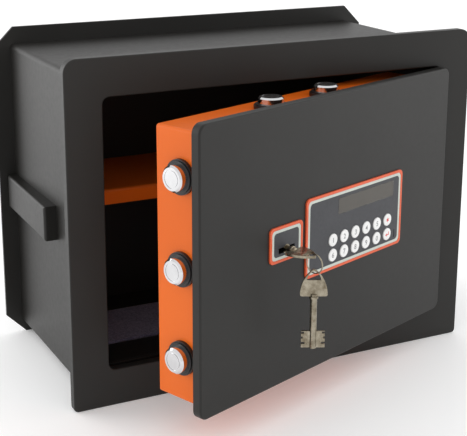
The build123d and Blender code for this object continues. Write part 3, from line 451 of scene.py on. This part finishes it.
# ---------------------------------------------------------------- marks on the buttons
ink_dark = moulded_plastic("ink_grey", (0.13, 0.13, 0.14), (0.17, 0.17, 0.18), 0.5)
ink_red = moulded_plastic("ink_red", (0.62, 0.03, 0.03), (0.70, 0.045, 0.04), 0.5)
DIGIT_HEIGHT = 6.2 * MM
INK_THICK = 0.04 * MM


def flat_mark(name, outlines, node, material):
    """Thin ink shapes on a button: each outline is a closed list of points in millimetres."""
    builder = bmesh.new()
    place = door_face_matrix(on_face(node, proud=0.01 * MM))
    for outline in outlines:
        lower = [builder.verts.new(place @ Vector((x * MM, y * MM, 0))) for x, y in outline]
        upper = [builder.verts.new(place @ Vector((x * MM, y * MM, INK_THICK))) for x, y in outline]
        builder.faces.new(tuple(reversed(lower)))
        builder.faces.new(upper)
        for k, corner in enumerate(lower):
            following = (k + 1) % len(lower)
            builder.faces.new((corner, lower[following], upper[following], upper[k]))
    bmesh.ops.recalc_face_normals(builder, faces=builder.faces)
    mesh = bpy.data.meshes.new(name)
    builder.to_mesh(mesh)
    builder.free()
    add_piece(name, mesh, material, frame["nodes"][node]["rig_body"], 20.0)


def digit_mark(digit):
    node = f"button_{digit}"
    curve = bpy.data.curves.new(f"digit_{digit}", "FONT")
    curve.body = digit
    curve.size = DIGIT_HEIGHT
    curve.align_x = "CENTER"
    curve.align_y = "CENTER"
    curve.extrude = INK_THICK / 2
    curve.offset = 0.02 * MM
    text = bpy.data.objects.new(f"digit_{digit}", curve)
    bpy.context.scene.collection.objects.link(text)
    bpy.context.view_layer.update()
    graph = bpy.context.evaluated_depsgraph_get()
    mesh = bpy.data.meshes.new_from_object(text.evaluated_get(graph))
    bpy.data.objects.remove(text)
    low_x = min(v.co.x for v in mesh.vertices)
    high_x = max(v.co.x for v in mesh.vertices)
    low_y = min(v.co.y for v in mesh.vertices)
    high_y = max(v.co.y for v in mesh.vertices)
    centred = Matrix.Translation((-(low_x + high_x) / 2, -(low_y + high_y) / 2, 0))
    mesh.transform(door_face_matrix(on_face(node, proud=INK_THICK / 2 + 0.01 * MM)) @ centred)
    add_piece(f"mark_{digit}", mesh, ink_dark, frame["nodes"][node]["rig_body"], 20.0)


def star_mark():
    points = []
    for k in range(12):
        reach = 2.5 if k % 2 == 0 else 1.0
        angle = math.pi / 2 + math.pi * k / 6
        points.append((reach * math.cos(angle), reach * math.sin(angle)))
    flat_mark("mark_star", [points], "button_star", ink_red)


def enter_mark():
    head = [(-2.8, -0.5), (-0.7, 1.0), (-0.7, -2.0)]
    shaft = [(-0.7, -0.9), (2.4, -0.9), (2.4, 2.1), (1.6, 2.1), (1.6, -0.1), (-0.7, -0.1)]
    flat_mark("mark_enter", [head, shaft], "button_enter", ink_red)


# ---------------------------------------------------------------- display
SEGMENTS = ((0, 1, 1), (0, 0, 1), (0, -1, 1), (-1, 0.5, 0), (1, 0.5, 0), (-1, -0.5, 0), (1, -0.5, 0))
DIGITS_SHOWN = 8


def display_digits():
    """Unlit seven-segment digits on the display module, just behind the window."""
    across = [vertex.co.dot(RIGHT) for vertex in frame["nodes"]["display_module"].data.vertices]
    span = max(across) - min(across)
    pitch = span / DIGITS_SHOWN
    half_width = 0.29 * pitch
    half_height = 4.6 * MM
    stroke = 0.55 * MM
    builder = bmesh.new()
    for digit in range(DIGITS_SHOWN):
        centre_x = (digit + 0.5) * pitch - span / 2
        for side, level, lying in SEGMENTS:
            x = centre_x + (0 if lying else side * half_width)
            y = level * half_height
            reach_x = half_width - 0.35 * MM if lying else stroke
            reach_y = stroke if lying else half_height / 2 - 0.35 * MM
            place = door_face_matrix(on_face("display_module", x, y, 0.02 * MM))
            size = Matrix.Diagonal((2 * reach_x, 2 * reach_y, 0.04 * MM, 1))
            bmesh.ops.create_cube(builder, size=1.0, matrix=place @ size)
    mesh = bpy.data.meshes.new("display_digits")
    builder.to_mesh(mesh)
    builder.free()
    unlit = moulded_plastic("unlit_segment", (0.12, 0.095, 0.075), (0.15, 0.12, 0.095), 0.4)
    add_piece("display_digits", mesh, unlit, "door", 20.0)


EASINGS = {"lock_key": 0.35, "spare_key": 0.35, "lock_barrel": 0.2, "hinge_brackets": 0.4}
for node_name, easing in EASINGS.items():
    eased_copy(node_name, easing * MM)
carpet_mat()
split_ring()
for shown in "1234567890":
    digit_mark(shown)
star_mark()
enter_mark()
display_digits()

# ---------------------------------------------------------------- stage, lights and camera
FLOOR_REACH = 6.0
FLOOR_DROP = 0.2 * MM


def pale_floor():
    low = CAD_BOX[0]
    builder = bmesh.new()
    corners = ((-1, -1), (1, -1), (1, 1), (-1, 1))
    height = low.z - FLOOR_DROP
    builder.faces.new([builder.verts.new((x * FLOOR_REACH, y * FLOOR_REACH, height)) for x, y in corners])
    mesh = bpy.data.meshes.new("floor")
    builder.to_mesh(mesh)
    builder.free()
    floor = bpy.data.objects.new("floor", mesh)
    bpy.context.scene.collection.objects.link(floor)
    made = Finish("pale_floor", rough=0.7)
    made.colour(made.blend(made.noise(3.0), (0.90, 0.90, 0.90), (0.93, 0.93, 0.93)))
    made.shader.inputs["Emission Color"].default_value = (1.0, 1.0, 1.0, 1.0)
    made.shader.inputs["Emission Strength"].default_value = 0.16
    mesh.materials.append(made.mat)


def soft_light(name, place, aim, size, power):
    light = bpy.data.lights.new(name, "AREA")
    light.shape = "RECTANGLE"
    light.size, light.size_y = size
    light.energy = power
    lamp = bpy.data.objects.new(name, light)
    lamp.location = place
    lamp.rotation_mode = "QUATERNION"
    lamp.rotation_quaternion = (Vector(aim) - Vector(place)).to_track_quat("-Z", "Y")
    bpy.context.scene.collection.objects.link(lamp)


def studio():
    world = bpy.data.worlds.new("studio")
    world.use_nodes = True
    surround = world.node_tree.nodes["Background"]
    surround.inputs["Color"].default_value = (1.0, 1.0, 1.0, 1.0)
    surround.inputs["Strength"].default_value = 1.0
    bpy.context.scene.world = world
    bpy.context.scene.view_settings.view_transform = "Standard"
    soft_light("left_light", (-1.5, 1.3, 0.4), (0, 0, 0), (1.6, 1.6), 22)
    soft_light("right_light", (2.0, -0.7, 0.4), (0, 0, 0), (1.4, 1.4), 7)


CAMERA_PLACE = (-0.487784, -1.063373, 0.306689)
CAMERA_PAN = 26.853
CAMERA_TILT = 15.142
CAMERA_ROLL = 0.188
CAMERA_LENS = 91.2
CAMERA_SHIFT_UP = -0.1


def photo_camera():
    lens = bpy.data.cameras.new("camera")
    lens.lens = CAMERA_LENS
    lens.sensor_width = 36.0
    lens.shift_y = CAMERA_SHIFT_UP
    camera = bpy.data.objects.new("camera", lens)
    camera.location = CAMERA_PLACE
    pan = Matrix.Rotation(math.radians(-CAMERA_PAN), 4, "Z")
    tilt = Matrix.Rotation(math.radians(90 - CAMERA_TILT), 4, "X")
    roll = Matrix.Rotation(math.radians(CAMERA_ROLL), 4, "Z")
    camera.rotation_euler = (pan @ tilt @ roll).to_euler()
    bpy.context.scene.collection.objects.link(camera)
    bpy.context.scene.camera = camera


pale_floor()
studio()
photo_camera()
